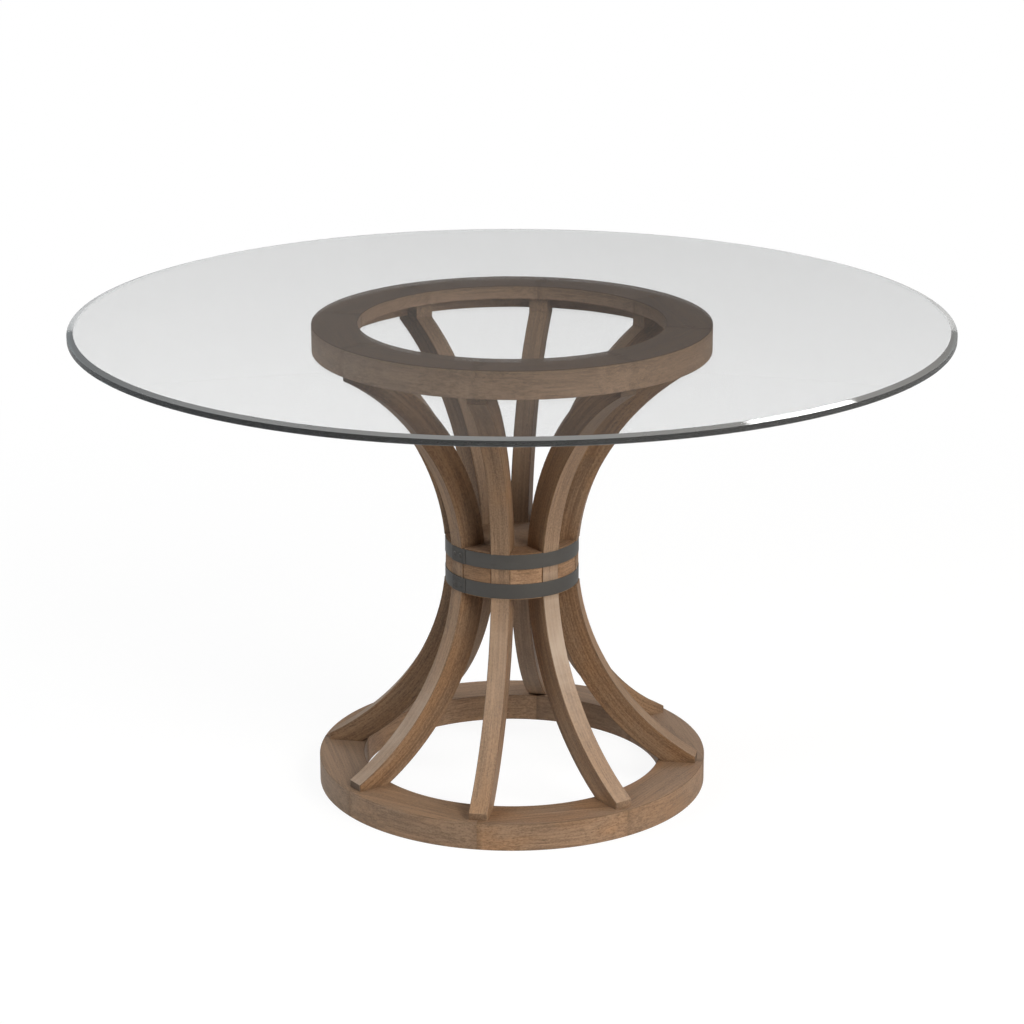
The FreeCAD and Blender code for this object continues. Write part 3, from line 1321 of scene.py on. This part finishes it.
    def wash_and_sheen(self, centre: Vector, normal: Vector, height: float) -> float:
        """Grey wash on a rib's outer edge with a painted sheen at one height, and thinly on its inner edge.

        Args:
            centre: Middle of a face.
            normal: Its direction.
            height: Where the painted sheen is brightest.

        Returns:
            Share of the wash and the painted sheen.
        """
        if abs(normal.y) > LEANING:
            return 0.0
        if centre.x < self.mid_radius(centre.z):
            return self.inner_wash
        off = (centre.z - height) / self.sheen_reach
        return self.wash_floor + (1.0 - self.wash_floor) * math.exp(-off * off)

    def end_cut(self, centre: Vector, normal: Vector) -> float:
        """The upright end of a foot shows end grain."""
        outside = centre.x > self.foot_outer - self.end_reach
        return 1.0 if outside and normal.x > self.end_facing else 0.0

    def painted_shading(self, place: Vector, normal: Vector) -> float:
        """Painted shade, deeper on the upper half of a rib than on the lower half."""
        low, high = self.side_shade_span if abs(normal.y) > LEANING else self.shade_span
        return self.shade_depth * limited((place.z - low) / (high - low))

    def mid_oval(self) -> Point:
        """Ellipse down the middle of the rib.

        Returns:
            The centre's radius, and the radial and the upright half axis.
        """
        waist = self.layout.waist_radius - self.waist_depth / 2
        sweep = (self.outer_sweep + self.inner_sweep) / 2
        return self.oval(waist, self.foot_middle, self.half_height - self.foot_end / 2, sweep)

    def mid_radius(self, height: float) -> float:
        """Radius of the rib's middle line at a height.

        Args:
            height: Height above the floor.

        Returns:
            The radius.
        """
        centre, radial, upright = self.mid_oval()
        rise = min(1.0, abs(height - self.waist_height) / upright)
        return centre - radial * math.sqrt(1 - rise * rise)

    def grain(self, place: Vector) -> Point:
        """Place in the board.

        Args:
            place: A point of the rib.

        Returns:
            How far it lies along the curve, across it and through its thickness.
        """
        centre, radial, upright = self.mid_oval()
        inward = (centre - place.x) / radial
        rise = (place.z - self.waist_height) / upright
        mean = (radial + upright) / 2
        return mean * math.atan2(rise, inward), mean * (1 - math.hypot(inward, rise)), place.y

    def build(self, finish: bpy.types.Material) -> None:
        """Shape one rib and set out its copies.

        Args:
            finish: The wood.
        """
        pattern = self.pattern()
        for index, (tone, height) in enumerate(zip(self.tones, self.sheen_heights)):
            pattern.mark_faces("wash_and_sheen", lambda centre, normal: self.wash_and_sheen(centre, normal, height))
            piece = pattern.copy(f"curved_rib_{index + 1}", self.layout.rib_angle(index))
            tone.stain(piece, self.first_seed + index)
            piece.hand_over(f"rib_{index + 1}", Slot.RIB, Body.BASE, finish)
        pattern.put_away()


@dataclass
class Hub:
    """Eight-sided core at the waist, and blocks between the ribs."""

    layout: Layout
    edge_round: float = 0.0005
    round_segments: int = 2
    drum_sides: int = 192
    overrun: float = 0.002
    joint_gap: float = 0.0005
    # Painted shade on the tops of the blocks.
    top_shade: float = 0.62
    core_cut: float = 0.6
    core_tone: Tone = Tone(1.55, 0.15, 0.6)
    core_seed: int = 70
    first_tone: Tone = Tone(1.80, 0.08, 0.7)
    other_tone: Tone = Tone(1.48, 0.0, 0.9)
    first_seed: int = 50

    @property
    def span(self) -> Pair:
        """Lowest and highest level of the hub."""
        half = self.layout.hub_height / 2
        return self.layout.hub_middle - half, self.layout.hub_middle + half

    @property
    def core_reach(self) -> float:
        """Radius of the core's corners."""
        return self.layout.core_apothem / math.cos(math.radians(self.layout.step / 2))

    def build(self, finish: bpy.types.Material) -> None:
        """Shape the core and one block, and set out the block's copies.

        Args:
            finish: The wood.
        """
        core = Workpiece.drum("waist_core", self.core_reach, self.span, self.layout.rib_count)
        core.turn(self.layout.bay_angle(0))
        core.round_edges(self.edge_round, self.round_segments)
        core.lay_wood(
            lambda place: (place.z, place.x, place.y),
            cut=lambda centre, normal: self.core_cut if abs(normal.z) > FACING else 0.0,
        )
        self.core_tone.stain(core, self.core_seed)
        core.hand_over("hub_core", Slot.HUB, Body.BASE, finish)
        pattern = self.block()
        for index in range(self.layout.rib_count):
            piece = pattern.copy(f"waist_block_{index + 1}", self.layout.bay_angle(index))
            tone = self.other_tone if index else self.first_tone
            tone.stain(piece, self.first_seed + index)
            piece.hand_over(f"hub_block_{index + 1}", Slot.HUB, Body.BASE, finish)
        pattern.put_away()

    def block(self) -> Workpiece:
        """Shape one block along +X, trimmed from a drum by its two ribs and the core.

        Returns:
            The block.
        """
        layout, (low, high) = self.layout, self.span
        block = Workpiece.drum("waist_block", layout.waist_radius, self.span, self.drum_sides)
        half = layout.rib_thickness / 2 + self.joint_gap
        lean = math.radians(layout.step / 2)
        for side in (-1, 1):
            outward = Vector((-math.sin(lean), side * math.cos(lean), 0))
            block.trim(tuple(-half * outward), tuple(outward))
        longer = (low - self.overrun, high + self.overrun)
        block.cut(Workpiece.drum("core_cut", self.core_reach, longer, layout.rib_count))
        block.tidy()
        block.round_edges(self.edge_round, self.round_segments)
        block.lay_wood(
            lambda place: (place.y, place.z, place.x),
            painted_shade=lambda place, normal: self.top_shade if place.z > high - self.overrun else 0.0,
        )
        return block


@dataclass
class Hoops:
    """Two strap hoops let into the ribs, lapped and riveted at the left."""

    layout: Layout
    thickness: float = 0.0015
    edge_round: float = 0.0005
    round_segments: int = 2
    lap_middle: float = -52.5
    lap_length: float = 0.034
    lap_steps: int = 16
    lap_taper: float = 0.0013
    taper_segments: int = 3
    rivet_pitch: float = 0.014
    rivet_radius: float = 0.004
    rivet_height: float = 0.0016
    rivet_sides: int = 24
    rivet_smooth: float = 50.0

    @property
    def strap_radius(self) -> float:
        """Outside radius of a hoop."""
        return self.layout.waist_radius + self.thickness

    @property
    def lap_radius(self) -> float:
        """Outside radius of a lap."""
        return self.strap_radius + self.thickness

    def build(self, finish: bpy.types.Material) -> None:
        """Shape both hoops and their rivets.

        Args:
            finish: The steel.
        """
        for name, span in zip(("upper", "lower"), self.layout.hoop_spans):
            hoop = self.hoop(f"{name}_strap_hoop", span)
            hoop.hand_over(f"{name}_hoop", Slot.STEEL, Body.BASE, finish)
        self.rivets().hand_over("hoop_rivets", Slot.STEEL, Body.BASE, finish)

    def hoop(self, name: str, span: Pair) -> Workpiece:
        """Bend a strap into a hoop, with its end lapped over.

        Args:
            name: The hoop's name.
            span: Its lowest and highest level.

        Returns:
            The hoop.
        """
        low, high = span
        strap = Workpiece.drum(name, self.strap_radius, span, self.layout.hoop_sides, closed=False)
        strap.modify("SOLIDIFY", thickness=self.thickness, offset=-1.0)
        strap.tidy()
        strap.round_edges(self.edge_round, self.round_segments)
        lap = Workpiece.section("lap", (self.strap_radius, low), (self.lap_radius, high))
        lap.spin(math.degrees(self.lap_length / self.lap_radius), self.lap_steps)
        lap.round_edges(self.lap_taper, self.taper_segments, self.lap_rounding)
        lap.turn(self.lap_middle + FRONT)
        strap.join(lap)
        strap.mark_crowns()
        strap.smooth()
        return strap

    def lap_rounding(self, middle: Vector, direction: Vector) -> float:
        """Full taper on the outer ends of a lap, a fine rounding on its other edges."""
        outside = middle.xy.length > self.strap_radius + self.thickness / 2
        return 1.0 if direction.z and outside else self.edge_round / self.lap_taper

    def rivets(self) -> Workpiece:
        """Shape domed rivet heads, a pair on each lap.

        Returns:
            All the heads as one piece.
        """
        swing = math.degrees(self.rivet_pitch / self.lap_radius) / 2
        axes = (self.rivet_height, self.rivet_radius, self.rivet_radius)
        heads = []
        for low, high in self.layout.hoop_spans:
            for side in (-1, 1):
                seat = (self.lap_radius, 0, (low + high) / 2)
                head = Workpiece.ball("rivet_heads", seat, axes, self.rivet_sides)
                head.trim(seat, (-1, 0, 0))
                head.turn(self.lap_middle + side * swing + FRONT)
                heads.append(head)
        first, *others = heads
        first.join(*others)
        first.tidy()
        first.mark_crowns()
        first.smooth(self.rivet_smooth)
        return first


@dataclass
class HiddenJoinery:
    """Nodes that keep their own shape: pads, tongues and tenons."""

    wooden: Tuple[str, ...] = ("top_ring_splines", "bottom_ring_splines", "top_tenons", "foot_tenons")
    pads: Tuple[str, ...] = ("glass_bumpers",)

    def dress(self, wood: bpy.types.Material, clear: bpy.types.Material) -> None:
        """Give each node its finish.

        Args:
            wood: For the tongues and tenons.
            clear: For the pads.
        """
        for names, finish in ((self.wooden, wood), (self.pads, clear)):
            for name in names:
                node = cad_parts[name]
                if not node.material_slots:
                    node.data.materials.append(finish)
                for slot in node.material_slots:
                    slot.material = finish
                LOG.info("%s keeps its own shape", name)


# Studio


class LampUse(Enum):
    """What a lamp is hung for."""

    LIGHT_AND_SHEEN = "light_and_sheen"
    LIGHT = "light"
    RIM = "rim"


@dataclass(frozen=True)
class Softbox:
    """A soft lamp that looks at the table and isn't mirrored in the flat of the glass."""

    name: str
    azimuth: float
    elevation: float
    watts: float
    colour: Colour = WHITE
    distance: float = 3.6
    size: float = 2.2
    aim: float = 0.40
    use: LampUse = LampUse.LIGHT_AND_SHEEN

    def build(self, left_out: bpy.types.Collection) -> None:
        """Hang the lamp, its light and its sheen apart.

        Args:
            left_out: Pieces that the sheen leaves out.
        """
        if self.use is LampUse.RIM:
            self.hang("rim").visible_diffuse = False
            return
        self.hang("light").visible_glossy = False
        if self.use is LampUse.LIGHT_AND_SHEEN:
            sheen = self.hang("sheen")
            sheen.visible_diffuse = False
            sheen.light_linking.receiver_collection = left_out

    def hang(self, part: str) -> bpy.types.Object:
        """Hang one lamp that neither the camera nor a look through the glass shows.

        Args:
            part: What this lamp gives, for its name.

        Returns:
            The lamp.
        """
        lamp = bpy.data.lights.new(f"{self.name}_{part}", "AREA")
        lamp.shape = "DISK" if self.use is LampUse.RIM else "SQUARE"
        lamp.size = self.size
        lamp.energy = self.watts
        lamp.color = self.colour
        stand = bpy.data.objects.new(lamp.name, lamp)
        bpy.context.collection.objects.link(stand)
        stand.visible_camera = False
        stand.visible_transmission = False
        turn, rise = math.radians(self.azimuth), math.radians(self.elevation)
        away = Vector((math.sin(turn) * math.cos(rise), -math.cos(turn) * math.cos(rise), math.sin(rise)))
        stand.location = Vector((0, 0, self.aim)) + away * self.distance
        stand.rotation_euler = away.to_track_quat("Z", "Y").to_euler()
        return stand


@dataclass
class Studio:
    """Pale floor, soft light and the camera of the photograph."""

    glass: bpy.types.Object
    camera_place: Point = (0.0, -4.39665, 1.81828)
    camera_tilt: float = 1.268270
    lens: float = 102.06
    sensor: float = 36.0
    floor_radius: float = 4.0
    floor_sides: int = 96
    floor_fade: Pair = (1.1, 2.6)
    floor_colour: Colour = (0.80, 0.80, 0.80)
    floor_lift: float = 0.90
    floor_shade: Colour = (0.14, 0.14, 0.14)
    ambient: Colour = (0.03, 0.03, 0.03)
    horizon_left: Colour = (0.12, 0.12, 0.12)
    horizon_right: Colour = (0.055, 0.055, 0.055)
    horizon_turn: Pair = (-0.12, 0.12)
    overhead_left: Colour = (1.2, 1.2, 1.2)
    overhead_right: Colour = (0.6, 0.6, 0.6)
    overhead_turn: Pair = (-0.40, 0.40)
    overhead_rise: Pair = (0.40, 0.70)
    below_rise: Pair = (-0.02, 0.02)
    mirrored: float = 0.40
    through: float = 1.28
    lamps: Tuple[Softbox, ...] = (
        Softbox("key", 42, 33, 108, (1.0, 0.95, 0.87)),
        Softbox("left_fill", -78, 33, 62, (0.92, 0.97, 1.0)),
        Softbox("right_fill", 84, 15, 14, (1.0, 0.97, 0.92)),
        Softbox("back_fill", 120, 35, 18),
        Softbox("low_back", 188, 12, 30, use=LampUse.LIGHT),
        Softbox("bevel", 149.8, 44.7, 40, distance=4.18, size=0.79, use=LampUse.RIM),
    )

    def build(self) -> None:
        """Set up the whole studio."""
        self.hang_camera()
        self.lay_floor()
        self.fill_world()
        left_out = self.without_glass()
        for lamp in self.lamps:
            lamp.build(left_out)
        bpy.context.scene.view_settings.view_transform = "Standard"

    def without_glass(self) -> bpy.types.Collection:
        """Make a list for the lamps that leaves the glass out.

        Returns:
            The list.
        """
        listed = bpy.data.collections.new("left_out")
        listed.objects.link(self.glass)
        listed.collection_objects[0].light_linking.link_state = "EXCLUDE"
        return listed

    def hang_camera(self) -> None:
        """Place the camera where the photograph was taken."""
        camera = bpy.data.cameras.new("camera")
        camera.lens = self.lens
        camera.sensor_width = self.sensor
        stand = bpy.data.objects.new("camera", camera)
        bpy.context.collection.objects.link(stand)
        stand.location = self.camera_place
        stand.rotation_euler = (self.camera_tilt, 0, 0)
        bpy.context.scene.camera = stand

    @staticmethod
    def rays(sheet: NodeSheet) -> Iterator[Shade]:
        """1 for camera rays, for glossy rays and for transmission rays, in that order."""
        outputs = sheet.node("ShaderNodeLightPath").socket.node.outputs
        return (Shade(sheet, outputs[f"Is {kind} Ray"]) for kind in ("Camera", "Glossy", "Transmission"))

    def seen(self, sheet: NodeSheet) -> Shade:
        """1 for all rays that show a thing."""
        camera, glossy, through = self.rays(sheet)
        return (camera + glossy + through).capped()

    def backdrop(self, sheet: NodeSheet) -> Shade:
        """How bright the white shows: white itself, dimmer in reflections, brighter through the glass.

        Args:
            sheet: Where it is shown.

        Returns:
            The brightness.
        """
        _, glossy, through = self.rays(sheet)
        mirrored = glossy * (1.0 - through)
        return 1.0 - (1.0 - self.mirrored) * mirrored + (self.through - 1.0) * through

    def lay_floor(self) -> None:
        """Pale floor that keeps the table's shadow and fades into the backdrop."""
        clear_bench()
        bpy.ops.mesh.primitive_circle_add(
            vertices=self.floor_sides, radius=self.floor_radius, fill_type="NGON"
        )
        floor = Workpiece("floor").shape
        material, sheet = new_sheet("pale_floor")
        across, along, _ = sheet.split(sheet.place())
        reach = sheet.node("ShaderNodeMath", {"operation": "SQRT"}, {0: across * across + along * along})
        plain, soft = (
            sheet.node("ShaderNodeBsdfDiffuse", inputs={"Color": opaque(colour)})
            for colour in (self.floor_colour, self.floor_shade)
        )
        level = self.backdrop(sheet)
        lift, white = (
            sheet.node("ShaderNodeEmission", inputs={"Color": opaque(WHITE), "Strength": strength})
            for strength in (self.floor_lift * level, level)
        )
        lifted = sheet.node("ShaderNodeAddShader", inputs={0: soft, 1: lift})
        shown = sheet.mixed(reach.ramp(*self.floor_fade), lifted, white)
        sheet.surface(sheet.mixed(self.seen(sheet), plain, shown))
        floor.data.materials.append(material)

    def fill_world(self) -> None:
        """Even light all round, shown white below the horizon and grey above it."""
        world = bpy.data.worlds.new("studio")
        world.use_nodes = True
        bpy.context.scene.world = world
        sheet = NodeSheet(world.node_tree)
        across, _, rise = sheet.split(sheet.node("ShaderNodeTexCoord", output="Generated"))
        side = across.ramp(*self.horizon_turn)
        horizon = sheet.blend(side, opaque(self.horizon_left), opaque(self.horizon_right))
        side = across.ramp(*self.overhead_turn)
        overhead = sheet.blend(side, opaque(self.overhead_left), opaque(self.overhead_right))
        upper = sheet.blend(rise.ramp(*self.overhead_rise), horizon, overhead)
        lower = sheet.scaled(WHITE, self.backdrop(sheet))
        shown = sheet.blend(rise.ramp(*self.below_rise), lower, upper)
        colour = sheet.blend(self.seen(sheet), opaque(self.ambient), shown)
        light = sheet.node("ShaderNodeBackground", inputs={"Color": colour, "Strength": 1.0})
        sheet.node("ShaderNodeOutputWorld", inputs={"Surface": light})


def main() -> None:
    """Build the table piece by piece, then the studio."""
    logging.basicConfig(level=logging.INFO, format="%(message)s")
    layout = Layout()
    glass = GlassTop().build(GlassFinish().make())
    RingPair(layout).build(RING_WOOD.make())
    RibSet(layout).build(RIB_WOOD.make())
    Hub(layout).build(HUB_WOOD.make())
    Hoops(layout).build(SteelFinish().make())
    HiddenJoinery().dress(PlainWoodFinish().make(), BumperFinish().make())
    Studio(glass).build()


if __name__ == "__main__":
    main()
